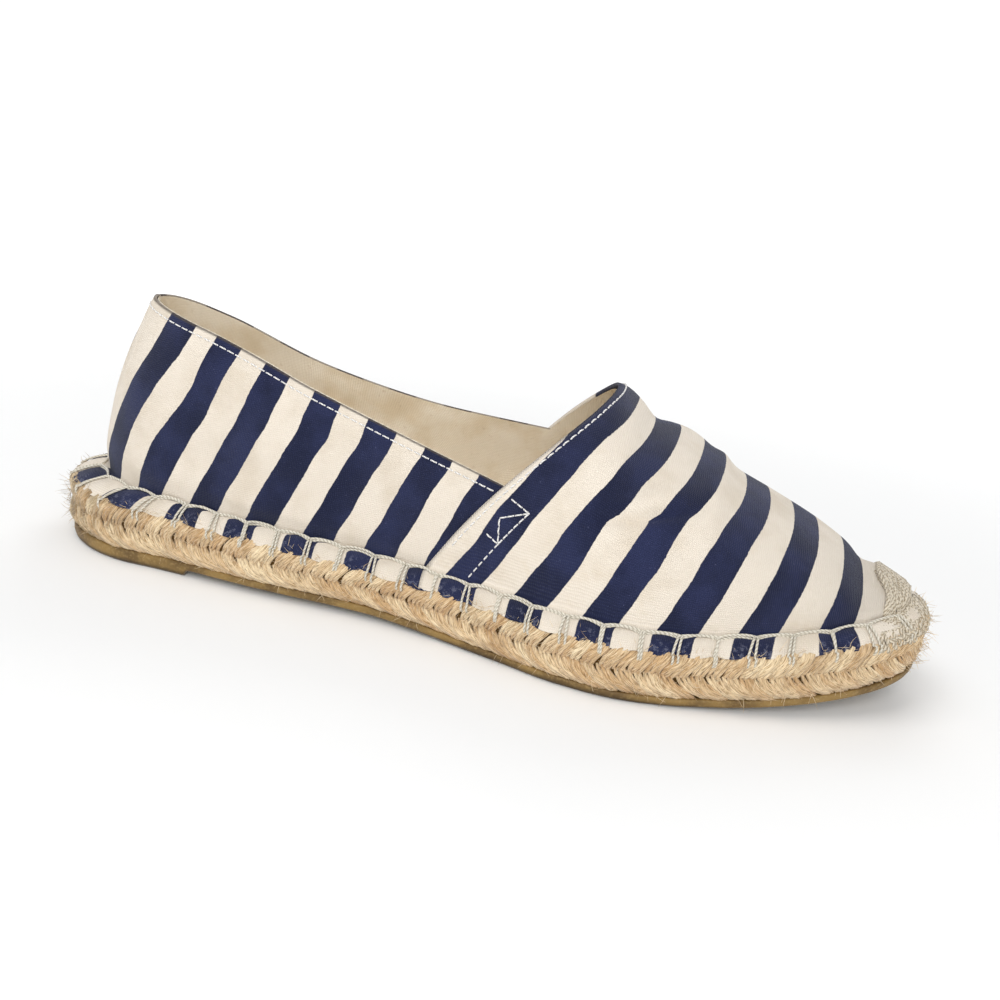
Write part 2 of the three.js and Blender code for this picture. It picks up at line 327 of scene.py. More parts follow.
def gum_rubber():
    """Tan moulded rubber: cloudy brown, painted shade nearly black along its lower edge, and a dull
    grey where the tread has been walked on. Slightly waxy, with the fine grain of its mould."""
    material, tree, shader = new_material("gum_rubber_moulded", 0.55, Specular_IOR_Level=0.35)
    place = add(tree, "ShaderNodeTexCoord", {}, "Object")
    height = add(tree, "ShaderNodeSeparateXYZ", {"Vector": place}, "Z")
    cloud = speckle(tree, place, 11 * mm)
    grain = speckle(tree, place, 0.9 * mm, 5.0)
    brown = mix(tree, ramp(tree, cloud, 0.35, 0.65), "#664f2b", "#8f7341")
    brown = mix(tree, ramp(tree, grain, 0.45, 0.75, 0, 0.5), brown, "#a98f5e")
    facing = add(tree, "ShaderNodeNewGeometry", {}, "Normal")
    downward = add(tree, "ShaderNodeSeparateXYZ", {"Vector": facing}, "Z")
    scuffed = ramp(tree, speckle(tree, place, 6 * mm), 0.3, 0.6)
    underneath = ramp(tree, downward, -0.5, -0.95)
    worn = add(tree, "ShaderNodeMath", {0: underneath, 1: scuffed}, operation="MULTIPLY")
    # painted shade: darker towards the bottom of the rubber, under the bulging rope
    brown = mix(tree, ramp(tree, height, 2.2 * mm, 0.4 * mm, 0, 0.75), brown, "#2b1f12")
    tree.links.new(mix(tree, worn, brown, "#7c7468"), shader.inputs["Base Color"])
    finish_bump(tree, shader, grain, 0.12 * mm)
    return material


outsole = to_piece(outsole_form, "outsole_rubber", gum_rubber())
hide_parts("outsole")

# --- Jute core ------------------------------------------------------------------------------
# The inner turns of the jute rope, laid side by side and sewn through into a flat slab. Only
# slits of it show between the plait's strands, in shadow, and its seat lies under the insole.
gap = 0.3
seat_rise = 2.2
core_depth = 1.5
side_ledge = 5
heel_ledge = 11
toe_ledge = 6
last_toe_rounding = 0.76
vamp_wall = 2.0

# height of the rope's side from 0 at the rubber to 1 at the shoulder, then over it towards the
# upper; how far the side draws in there; how far the shoulder has risen
side_heights = (0, 0.2, 0.5, 0.8, 1, 1.25, 1.5)
side_draws = (1.3, 0.4, 0, 0.3, 1.1, 3.0, 5.0)
shoulder_rises = (0, 0, 0, 0, 0, 0.8, 1.6)
side_draw_at = smooth_curve(side_heights, side_draws)
shoulder_rise_at = smooth_curve(side_heights, shoulder_rises)


def jute_side(walk, height, proud):
    """Point of the rope's side, and the direction that it faces."""
    spot, outward = sole_edge(walk)
    low = underside_at(spot.x) + rubber_thickness + gap
    z = low + (edge_at(spot.x) - low) * min(height, 1) + shoulder_rise_at(max(height, 0))
    over = smoothstep(0.85, 1.3, height)
    facing = Vector((outward.x * (1 - 0.7 * over), outward.y * (1 - 0.7 * over), over)).normalized()
    level = spot - outward * (side_draw_at(max(height, 0)) - 6 * min(height, 0) ** 2)
    return to_frame(level.x, level.y, z) + facing * proud * mm, facing


core_levels = (-0.2, 0, 0.15, 0.35, 0.5, 0.65, 0.85, 1, 1.25, 1.5, 9)


def core_point(u, v):
    level = core_levels[round(v * (len(core_levels) - 1))]
    walk = (2 * u - 1) * sole_arcs[INNER][1][-1] * (1 - 1e-4)
    point = jute_side(walk, max(0, min(level, 1.5)), -core_depth)[0]
    if level < 0 or level > 2:
        spot = sole_spot(walk)
        across = min(max(spot.x, 24), sole_length - 24)
        seat = edge_at(spot.x) + seat_rise - gap
        seated = seat if level > 2 else underside_at(spot.x) + rubber_thickness
        point = to_frame(across, middle_at(across), seated)
    return point, (walk, v * 30)


core_form = sheet_form(300, len(core_levels) - 1, core_point)
bmesh.ops.remove_doubles(core_form, verts=core_form.verts, dist=0.02 * mm)
bmesh.ops.recalc_face_normals(core_form, faces=core_form.faces)


def painted_shade_jute():
    """Jute deep between the strands: painted shade in a dark brown, hairy, with no shine."""
    material, tree, shader = new_material("jute_core_painted_shade", 0.95, Specular_IOR_Level=0.1)
    place = add(tree, "ShaderNodeTexCoord", {}, "Object")
    hair = speckle(tree, place, 0.8 * mm, 6.0, 0.7)
    # painted shade: the whole core is coloured dark brown for the shade in the slits between the strands
    tree.links.new(mix(tree, hair, "#3f2d18", "#7d6038"), shader.inputs["Base Color"])
    finish_bump(tree, shader, hair, 0.5 * mm)
    return material


jute_core = to_piece(core_form, "jute_core", painted_shade_jute())

# --- Jute plait -----------------------------------------------------------------------------
# The outermost turn of the rope: a flat plait on its edge, whose strands show as two rows that
# meet at mid height in a herringbone. Each strand is a fan of loosely spun yarns.
plait_pitch = 4.0
yarns_in_strand = 3
yarn_pitch = 1.12
yarn_radius = 0.84
yarn_steps = 12
strand_seat = -1.55


def add_strand(form, path, facings, radii, tint=0.5, around=6, twist_from=0.0):
    """A round strand through a path of points. Its seam lies on the side away from facings."""
    tints = form.verts.layers.float.get("tint") or form.verts.layers.float.new("tint")
    rows = len(path) - 1
    walked = list(accumulate(((b - a).length / mm for a, b in zip(path, path[1:])), initial=0))
    rings = []
    for i, (point, facing) in enumerate(zip(path, facings)):
        onward = (path[min(i + 1, rows)] - path[max(i - 1, 0)]).normalized()
        across = onward.cross(facing).normalized()
        rings.append((point, across, across.cross(onward)))

    def point_at(u, v):
        i = round(u * rows)
        point, across, outward = rings[i]
        angle = 2 * math.pi * v
        turned = across * math.sin(angle) - outward * math.cos(angle)
        return point + turned * radii[i] * mm, (walked[i] + twist_from, v * 2 * math.pi * radii[i])

    before = len(form.verts)
    sheet_form(rows, around, point_at, form)
    form.verts.ensure_lookup_table()
    for index in range(before, len(form.verts)):
        form.verts[index][tints] = tint
    return form


# rows of the plait: start and end of a strand's height, how far it runs along the sole, lift
plait_rows = {
    "lower": {"from": 0.55, "to": -0.16, "run": 9.6, "lift": 1.45},
    "upper": {"from": 0.45, "to": 1.22, "run": 5.4, "lift": 1.35},
}


def plait_row(row, seed):
    chance = random.Random(seed)
    form = bmesh.new()
    reach = {side: sole_arcs[side][1][-1] for side in (INNER, OUTER)}
    count = round((reach[INNER] + reach[OUTER]) / plait_pitch)
    pitch = (reach[INNER] + reach[OUTER]) / count
    for k in range(count):
        start = -reach[INNER] + pitch * k + chance.uniform(-0.6, 0.6)
        fray = chance.uniform(0.82, 1.16)
        shade = chance.uniform(0.1, 0.9)
        low_end = chance.uniform(-0.05, 0.05)
        for j in range(yarns_in_strand):
            aside = j - (yarns_in_strand - 1) / 2
            path, facings, radii = [], [], []
            wander = chance.uniform(-0.2, 0.2)
            for i in range(yarn_steps):
                t = i / (yarn_steps - 1)
                crown = math.sin(math.pi * t) ** 0.7
                walk = start + aside * yarn_pitch - row["run"] * t**1.15 + wander * math.sin(7 * t + j)
                if walk < -reach[INNER]:
                    walk += reach[INNER] + reach[OUTER]
                climb = t + 0.06 * math.sin(2 * math.pi * t)
                height = row["from"] + (row["to"] + low_end - row["from"]) * climb
                height += 0.03 * aside * (1 - t) * math.copysign(1, row["to"] - row["from"])
                bow = row["lift"] * crown * (1 - 0.2 * aside * aside) * fray + strand_seat
                point, facing = jute_side(walk, height, bow + chance.uniform(-0.06, 0.06))
                path.append(point)
                facings.append(facing)
                radii.append(yarn_radius * (0.45 + 0.55 * crown) * fray)
            tint = min(max(shade + chance.uniform(-0.25, 0.25), 0), 1)
            add_strand(form, path, facings, radii, tint, 6, chance.uniform(0, 400))
    bmesh.ops.recalc_face_normals(form, faces=form.faces)
    return form


def spun_jute():
    """Jute yarn spun from long bast fibres: straw gold with paler and browner yarns, fine lines
    of fibre along each, a faint silky sheen on the crowns and grey-brown dirt at the heel."""
    material, tree, shader = new_material("jute_yarn_spun", 0.82, Specular_IOR_Level=0.2, Sheen_Weight=0.25)
    place = add(tree, "ShaderNodeTexCoord", {}, "Object")
    along_yarn = add(tree, "ShaderNodeUVMap", {}, uv_map="flat")
    stretch = {"Vector": along_yarn, "Rotation": (0, 0, 0.25), "Scale": (0.35, 3.4, 1)}
    fibre_place = add(tree, "ShaderNodeMapping", stretch)
    fibre_noise = {"Vector": fibre_place, "Scale": 1.0, "Detail": 4.0, "Roughness": 0.65}
    fibre = add(tree, "ShaderNodeTexNoise", fibre_noise)
    tint = add(tree, "ShaderNodeAttribute", {}, "Fac", attribute_name="tint")
    gold = mix(tree, tint, "#cfab7e", "#f5e0ba")
    gold = mix(tree, ramp(tree, fibre, 0.54, 0.36, 0, 0.85), gold, "#8a683f")
    gold = mix(tree, ramp(tree, fibre, 0.54, 0.7, 0, 0.65), gold, "#fbeed2")
    split = add(tree, "ShaderNodeSeparateXYZ", {"Vector": place}, "X")
    heel = ramp(tree, split, heel_x + 42 * mm, heel_x + 2 * mm, 0, 0.85)
    soil = ramp(tree, speckle(tree, place, 5 * mm, 4.0), 0.42, 0.62, 0.25, 1.0)
    heel_soil = add(tree, "ShaderNodeMath", {0: heel, 1: soil}, operation="MULTIPLY")
    gold = mix(tree, heel_soil, gold, "#6f5a3c")
    blotch = ramp(tree, speckle(tree, place, 16 * mm, 3.0), 0.58, 0.74, 0, 0.45)
    gold = mix(tree, blotch, gold, "#a8855c")
    tree.links.new(gold, shader.inputs["Base Color"])
    finish_bump(tree, shader, fibre, 0.28 * mm)
    return material


jute_yarn = spun_jute()
for row_name, row_seed in (("lower", 3), ("upper", 8)):
    plait = to_piece(plait_row(plait_rows[row_name], row_seed), f"jute_plait_{row_name}", jute_yarn)
    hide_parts("jute_sole")

# --- Insole ---------------------------------------------------------------------------------
# A thin pad covered in plain cotton, glued on the rope's seat and trimmed to the last. It is
# pressed down where heel and ball have stood.
insole_thickness = 2.5
insole_room = 0.5
insole_rings = (1, 0.985, 0.96, 0.85, 0.65, 0.45, 0.25, 0.05)


def last_outline(t, grow=0):
    """Place along the shoe and half width of the last's base, where the upper meets the sole."""
    start, end = heel_ledge - grow, sole_length - toe_ledge + grow
    along = start + t * (end - start)
    return along, (half_at(along) - side_ledge + grow) * end_rounding(t, last_toe_rounding)


def insole_point(u, v):
    """Rings drawn in towards the middle line, the first one down at the pad's lower edge."""
    ring = round(v * len(insole_rings))
    share = insole_rings[max(ring - 1, 0)]
    side = INNER if u < 0.5 else OUTER
    t = (1 - math.cos(math.pi * abs(2 * u - 1))) / 2
    along, half = last_outline(t, -vamp_wall - insole_room)
    along = 128 + (along - 128) * (1 - 0.12 * (1 - share))
    heel_print = math.exp(-(((along - 38) / 24) ** 2) - (share * half / 20) ** 2)
    ball_print = math.exp(-(((along - 172) / 26) ** 2) - (share * half / 30) ** 2)
    drop = 0.8 * heel_print + 0.6 * ball_print + (0 if share < 0.97 else (share - 0.97) * 12)
    top = edge_at(along) + seat_rise + gap + insole_thickness - drop
    z = top if ring else top - insole_thickness
    y = middle_at(along) + side * half * share
    return to_frame(along, y, z), (along, y)


insole_form = sheet_form(240, len(insole_rings), insole_point)
bmesh.ops.remove_doubles(insole_form, verts=insole_form.verts, dist=0.02 * mm)
bmesh.ops.recalc_face_normals(insole_form, faces=insole_form.faces)


def weave_of(tree, thread):
    """Over and under bumps of a plain weave, with threads this many millimetres apart."""
    flat = add(tree, "ShaderNodeUVMap", {}, uv_map="flat")
    waver = {"Vector": flat, "Scale": 0.35, "Detail": 2.0}
    shift = add(tree, "ShaderNodeTexNoise", waver, 1)
    shift = add(tree, "ShaderNodeVectorMath", {0: shift, "Scale": 0.5}, operation="SCALE")
    flat = add(tree, "ShaderNodeVectorMath", {0: flat, 1: shift}, operation="ADD")
    split = tree.nodes.new("ShaderNodeSeparateXYZ")
    tree.links.new(flat, split.inputs["Vector"])
    waves = []
    for axis in ("X", "Y"):
        turn = {0: split.outputs[axis], 1: math.pi / thread}
        turn = add(tree, "ShaderNodeMath", turn, operation="MULTIPLY")
        waves.append(add(tree, "ShaderNodeMath", {0: turn}, operation="SINE"))
    crossing = add(tree, "ShaderNodeMath", {0: waves[0], 1: waves[1]}, operation="MULTIPLY")
    return add(tree, "ShaderNodeMath", {0: crossing}, operation="ABSOLUTE")


def cotton_lining(name, clean, stained, thread):
    """Thin unbleached cotton in a plain weave, rubbed and stained by wear: beige with tea-coloured
    patches, painted shade between the threads and small rucks where it has come loose, soft and without
    shine."""
    material, tree, shader = new_material(name, 0.92, Specular_IOR_Level=0.15, Sheen_Weight=0.15)
    place = add(tree, "ShaderNodeTexCoord", {}, "Object")
    patches = ramp(tree, speckle(tree, place, 17 * mm, 4.0), 0.44, 0.68)
    specks = ramp(tree, speckle(tree, place, 1.6 * mm, 3.0), 0.62, 0.8, 0, 0.35)
    colour = mix(tree, patches, clean, stained)
    colour = mix(tree, specks, colour, "#bfa47a")
    weave = weave_of(tree, thread)
    # painted shade: darker between the threads of the weave
    colour = mix(tree, ramp(tree, weave, 0.5, 0.0, 0, 0.25), colour, "#c4ad88")
    tree.links.new(colour, shader.inputs["Base Color"])
    rucks = {"Vector": place, "Rotation": (0, 0.5, 0), "Scale": (1, 1, 0.3)}
    rucks = speckle(tree, add(tree, "ShaderNodeMapping", rucks), 7 * mm, 2.0)
    height = add(tree, "ShaderNodeMath", {0: rucks, 1: 6.0, 2: weave}, operation="MULTIPLY_ADD")
    finish_bump(tree, shader, height, 0.16 * mm, 0.8)
    return material


insole_material = cotton_lining("insole_cotton_woven", "#ecdcbd", "#cfb58c", 0.6)
insole = to_piece(insole_form, "insole_cloth", insole_material)
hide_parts("insole")

# --- Lining ---------------------------------------------------------------------------------
# Plain beige cotton inside quarter and vamp, cut a little short of their folded edges and
# caught by the same topstitching.
stitch_rise = 3.8
flange_inset = 0.8
flange_thickness = 1.3
last_side_fullness = 2.1
last_roof_fullness = 2.5
least_roof = 0.4
heel_lean = 9.2
heel_swell = 1.4
heel_reach = 0.35
heel_measure = 45
lining_depth = 1.95
lining_margin = 0.05

# collar's height along the quarter; the throat is the vamp's rear edge, from foot to peak
collar_at = {
    INNER: smooth_curve((0, 20, 44, 80, 120, 150), (77, 75.5, 71, 59.6, 49.3, 43.4)),
    OUTER: smooth_curve((0, 20, 40, 70, 100, 120, 150), (77, 75.5, 68.8, 57.6, 50.9, 48.4, 45.6)),
}
throat_foot = Vector((120.5, 18))
throat_peak = Vector((162.6, 69.8))
throat_bow = 3.5


def last_surface(t, side, angle, grow=0):
    """The last's surface: angle is 0 at its base and a right angle on its ridge."""
    along, half = last_outline(t, grow)
    base = edge_at(along) + stitch_rise
    roof = max(roof_at(along) + grow, base + least_roof)
    rise = max(0, math.sin(angle)) ** (2 / last_roof_fullness)
    spread = max(0, math.cos(angle)) ** (2 / last_side_fullness)
    height = (roof - base) * rise
    share = height / heel_measure
    fade = max(0, 1 - t / heel_reach) ** 1.5
    lean = heel_lean * share * share - heel_swell * math.sin(math.pi * min(share, 1))
    return Vector((along + fade * lean, middle_at(along) + side * half * spread, base + height))


def angle_at_height(t, z, grow=0):
    """The angle at which the last's surface reaches a height."""
    along = last_outline(t, grow)[0]
    base = edge_at(along) + stitch_rise
    roof = max(roof_at(along) + grow, base + least_roof)
    share = min(max((z - base) / (roof - base), 0), 1)
    return math.asin(min(1, share ** (last_roof_fullness / 2)))


def throat_along(z):
    share = (z - throat_foot.y) / (throat_peak.y - throat_foot.y)
    bow = throat_bow * math.sin(math.pi * min(max(share, 0), 1))
    return throat_foot.x + (throat_peak.x - throat_foot.x) * share - bow


last_arcs = {side: arcs_of(last_outline, side) for side in (INNER, OUTER)}


def last_share(walk):
    """Side and share t of the last's base after a walk from the heel's tip."""
    side = INNER if walk < 0 else OUTER
    shares, arcs = last_arcs[side]
    return side, between(arcs, shares, abs(walk))


def walk_to(along, side):
    """Walk from the heel's tip to a place along the shoe, on one side."""
    shares, arcs = last_arcs[side]
    start, end = heel_ledge, sole_length - toe_ledge
    return side * between(shares, arcs, (along - start) / (end - start))


# Creases given on the shoe's own sizes. side, place along and height of the middle, slope
# of the line in degrees as seen from that side, half length, half width, and depth, which is
# below zero for a trough and above for a ridge.
quarter_creases = {
    "heel_fold": (INNER, 30, 48, 62, 12, 4.2, -0.4),
    "heel_roll": (INNER, 25, 50, 62, 12, 4.2, 0.3),
    "low_bulge": (INNER, 70, 25, -4, 48, 5.0, 0.9),
    "low_groove": (INNER, 72, 34, -5, 40, 4.5, -0.55),
    "waist_pull": (INNER, 96, 36, 55, 13, 3.4, -0.6),
    "waist_roll": (INNER, 104, 34, 55, 12, 3.4, 0.5),
    "middle_pull": (INNER, 60, 44, 58, 14, 3.6, -0.45),
    "outer_bulge": (OUTER, 66, 25, -4, 46, 5.0, 1.0),
    "outer_groove": (OUTER, 60, 36, -6, 34, 4.0, -0.8),
    "outer_heel_fold": (OUTER, 22, 46, 40, 12, 3.4, -1.0),
    "outer_heel_roll": (OUTER, 27, 40, 40, 12, 3.4, 0.8),
    "outer_pull": (OUTER, 94, 36, 50, 13, 3.2, -0.7),
}
vamp_creases = {
    "peak_drop": (0, 173.5, 61, 78, 18, 3.0, -0.9),
    "shoulder": (0, 185.5, 57, 80, 15, 9.0, 1.8),
    "shoulder_edge": (0, 194.5, 53, 82, 11, 3.2, 1.5),
    "toe_rise": (0, 206, 47, 82, 14, 8.0, 0.8),
    "toe_dip": (0, 237, 33, 82, 12, 3.6, -1.7),
    "near_tuck": (INNER, 176, 45.4, 8, 12, 1.2, -1.9),
    "near_tuck_roll": (INNER, 175, 48.2, 8, 13, 2.2, 1.2),
    "near_tuck_back": (INNER, 160, 39, -4, 9, 2.4, -0.6),
    "second_tuck": (INNER, 190, 38, -18, 13, 3.0, -0.55),
    "low_pull": (INNER, 150, 30, 48, 12, 3.2, -0.5),
    "toe_pull": (INNER, 212, 30, 30, 13, 3.4, -0.4),
    "far_tuck": (OUTER, 170, 46, 12, 18, 2.6, -1.6),
    "far_tuck_roll": (OUTER, 169, 52, 12, 18, 3.6, 1.1),
    "far_pull": (OUTER, 192, 36, -12, 16, 3.2, -0.7),
}


def crease_depth(creases, along, z, side_share):
    """How far creases move a point outward; side_share is -1 on the inner side, 1 on the outer."""
    depth = 0
    for side, middle, height, slope, length, width, rise in creases.values():
        reach_in, reach_up = along - middle, z - height
        turn = math.radians(slope)
        lengthwise = (reach_in * math.cos(turn) + reach_up * math.sin(turn)) / length
        crosswise = (reach_up * math.cos(turn) - reach_in * math.sin(turn)) / width
        if abs(lengthwise) < 2 and abs(crosswise) < 2.5:
            holds = 1 if side == 0 else smoothstep(-0.15, 0.25, side * side_share)
            depth += rise * holds * math.exp(-(lengthwise**2) - crosswise**2)
    return depth


def unevenness(point, size, depth, seed):
    """Slow random dents of a size and depth, the same on each run."""
    return depth * noise.noise(point / size + Vector((seed, seed * 0.7, 0)))


def quarter_place(walk, z_share, grow=0):
    """Side, share t, walk and height of a point of the quarter, z_share of the way up its wall.
    Its front end leans forward with height, along the throat."""
    side, t = last_share(walk)
    ahead = smoothstep(60, 115, last_outline(t)[0])
    z = stepped = 0
    for _ in range(4):
        base = edge_at(last_outline(t)[0]) + stitch_rise
        top = collar_at[side](last_surface(t, side, angle_at_height(t, z or base + 30, grow), grow).x)
        z = base + (top - base) * z_share
        stepped = side * ahead * (throat_along(z) - throat_foot.x)
        t = last_share(walk + stepped)[1] if ahead else t
    return side, t, walk + stepped, z


def quarter_point(walk, z_share, grow=0, worn=True):
    """Point of the quarter's wall, z_share of the way up from the seam to the collar."""
    side, t, stepped_walk, z = quarter_place(walk, z_share, grow)
    point = last_surface(t, side, angle_at_height(t, z, grow), grow)
    if worn:
        turned_side, after = last_share(stepped_walk + 0.6)
        onward = last_surface(after, turned_side, angle_at_height(after, z, grow), grow) - point
        outward = Vector((-onward.y, onward.x, 0)).normalized()
        fade = smoothstep(0, 0.12, z_share) * (1 - 0.75 * smoothstep(0.85, 1, z_share))
        dent = crease_depth(quarter_creases, point.x, point.z, side) + unevenness(point, 21, 1.1, 3)
        point += outward * dent * fade
    return point


lap = 7
quarter_walks = {side: walk_to(throat_foot.x + lap, side) for side in (INNER, OUTER)}


def lining_quarter_point(u, v):
    walk = quarter_walks[INNER] + u * (quarter_walks[OUTER] - quarter_walks[INNER])
    point = quarter_point(walk, -0.05 + v * 1.05, -lining_depth)
    point.z -= lining_margin * v
    return to_frame(*point), (walk, point.z)


def throat_share(side, angle, grow=0):
    """Share t at which the last's surface crosses the throat line."""
    low, high = 0.3, 0.95
    for _ in range(22):
        t = (low + high) / 2
        point = last_surface(t, side, angle, grow)
        if point.x < throat_along(point.z):
            low = t
        else:
            high = t
    return (low + high) / 2


def vamp_point(across, t, grow=0, worn=True):
    """Point of the vamp: across runs from -1 at the inner seam over the ridge to 1 at the outer."""
    side = INNER if across < 0 else OUTER
    angle = math.pi / 2 * (1 - abs(across))
    point = last_surface(t, side, angle, grow)
    if worn:
        facing = Vector((0.25, side * math.cos(angle), 0.25 + math.sin(angle))).normalized()
        fade = smoothstep(0, 0.15, 1 - abs(across)) * (1 - smoothstep(0.96, 0.99, t))
        dent = crease_depth(vamp_creases, point.x, point.z, across * 2) + unevenness(point, 24, 0.8, 11)
        point += facing * dent * fade
    return point


throat_columns = 120
throat_shares = [
    throat_share(
        INNER if k < throat_columns / 2 else OUTER,
        math.pi * min(k, throat_columns - k) / throat_columns,
    )
    for k in range(throat_columns + 1)
]


def throat_start(across):
    place = (across + 1) / 2 * throat_columns
    return between(range(throat_columns + 1), throat_shares, place)


def lining_vamp_point(u, v):
    across = 2 * u - 1
    start = throat_start(across)
    t = start + (1 - start) * math.sin(v * math.pi / 2) * 0.985
    point = vamp_point(across, t, -lining_depth)
    point.x += lining_margin * (1 - v)
    return to_frame(*point), (point.x, across * 60)


# The lining's own beige is lightened nearly to white here: painted light, standing in for the light inside
# the shoe.
lining_material = cotton_lining("lining_cotton_woven", "#fdf3e0", "#f0e0c4", 0.5)
lining_quarter_form = sheet_form(220, 26, lining_quarter_point)
lining_quarter = to_piece(lining_quarter_form, "lining_quarter", lining_material)
lining_vamp = to_piece(sheet_form(90, 60, lining_vamp_point), "lining_vamp", lining_material)

# --- Quarter --------------------------------------------------------------------------------
# Striped canvas round the heel, its top edge folded in and topstitched, its lower edge left raw,
# turned out over the rope's shoulder and sewn down in scallops. The outer side is a guess: its
# stripes mirror the inner ones and stand upright at the back.
quarter_depth = -0.7
hem_radius = 0.5
hem_depth = 0.9
stripe_pitch = 18.2
stripe_start = 2.5
outer_stripe_shift = 6
flange_shift = 1
flange_shift_ahead = 2.7
leg_pitch = 9.7
scallop = 0.9
stripe_slope_at = {
    INNER: smooth_curve((0, 22, 30, 42, 70, 220), (0, 0.335, 0.36, 0.43, 0.453, 0.455)),
    OUTER: smooth_curve((0, 22, 45, 70, 220), (0, 0.17, 0.36, 0.45, 0.455)),
}
stripe_pull_at = smooth_curve((0, 20, 38, 60, 80, 220), (0, 0, -1, -0.3, 0, 0.2))
seam_height = 18
turned_out = 0.62


def edge_share(t):
    """Share t of the sole's outline that lies straight out from a share t of the last's base."""
    near_middle = smoothstep(0.02, 0.2, t) * (1 - smoothstep(0.84, 0.98, t))
    return t + (last_outline(t)[0] / sole_length - t) * near_middle


def flange_point(t, side, share, walk, grow=0):
    """Point of the turned-out edge, from the seam (0) to its raw edge (1) on the shoulder."""
    seam = last_surface(t, side, 0, grow)
    along, half = sole_outline(edge_share(t), flange_inset)
    puff = math.sin(math.pi * ((walk / leg_pitch) % 1))
    edge = Vector((along, middle_at(along) + side * half, edge_at(along) + flange_thickness * 0.4))
    outward = (edge - seam).normalized()
    point = seam.lerp(edge, share) + outward * scallop * (puff - 0.6) * share
    point.z += turned_out * math.sin(math.pi * share) * (0.4 + puff) - 0.9 * (share**4)
    return point


def quarter_stripe(walk, z, flange):
    """Stripe number at a point; navy lies within a quarter of each whole number."""
    side = INNER if walk < 0 else OUTER
    base = abs(walk)
    if side == OUTER:
        base -= outer_stripe_shift * smoothstep(0, 60, base)
    near_heel = 1 - smoothstep(38, 50, base)
    curl = (0.2 + 0.15 * near_heel) * max(0, z - 47 - 15 * near_heel)
    arc = base - stripe_slope_at[side](base) * (z - seam_height) - stripe_pull_at(base) + curl
    if flange:
        shift = flange_shift + flange_shift_ahead * smoothstep(20, 70, base)
        arc = base + shift * smoothstep(0, 0.35, flange)
    ripple = 0.7 * noise.noise(Vector((walk / 34, z / 11, 5)))
    ripple += 0.35 * noise.noise(Vector((walk / 15, z / 5, 9)))
    return (side * (arc + ripple) - stripe_start) / stripe_pitch


flange_rows = 7
wall_rows = 54
hem_rows = 8


def cloth_form(columns, rows, cloth_at):
    """A sheet whose points also carry their stripe number and how worn the print is there."""
    marks = []

    def point_at(u, v):
        point, flat, stripe, wear = cloth_at(u, v)
        marks.append((stripe, wear))
        return to_frame(*point), flat

    form = sheet_form(columns, rows, point_at)
    stripes = form.verts.layers.float.new("stripe")
    wears = form.verts.layers.float.new("wear")
    for vert, (stripe, wear) in zip(form.verts, marks):
        vert[stripes], vert[wears] = stripe, wear
    return form


def hem_offset(edge, below, outward, roll):
    """Point on the folded edge: over the top in a half circle, then down the inside."""
    upward = (edge - below).normalized()
    turn = min(roll / hem_radius, math.pi)
    down = max(0, roll - math.pi * hem_radius)
    centre = edge - outward * hem_radius - upward * hem_radius
    return centre + outward * hem_radius * math.cos(turn) + upward * (hem_radius * math.sin(turn) - down)


def quarter_cloth_at(u, v):
    row = round(v * (flange_rows + wall_rows + hem_rows))
    walk = quarter_walks[INNER] + u * (quarter_walks[OUTER] - quarter_walks[INNER])
    side, t = last_share(walk)
    if row < flange_rows:
        share = 1 - row / flange_rows
        point = flange_point(t, side, share, walk, quarter_depth)
        stripe = quarter_stripe(walk, seam_height, share)
        return point, (walk, -share * 8), stripe, smoothstep(0.3, 0.85, share)
    share = min((row - flange_rows) / wall_rows, 1)
    point = quarter_point(walk, share, quarter_depth)
    stripe_walk = quarter_place(walk, share, quarter_depth)[2]
    stripe = quarter_stripe(stripe_walk, point.z, 0)
    if row > flange_rows + wall_rows:
        roll = (row - flange_rows - wall_rows) / hem_rows * (math.pi * hem_radius + hem_depth)
        below = quarter_point(walk, 0.95, quarter_depth)
        onward = quarter_point(walk + 0.6, 1, quarter_depth, False)
        onward -= quarter_point(walk, 1, quarter_depth, False)
        point = hem_offset(point, below, Vector((-onward.y, onward.x, 0)).normalized(), roll)
    return point, (stripe_walk, point.z), stripe, -1.0 if row >= flange_rows + wall_rows else 0.0


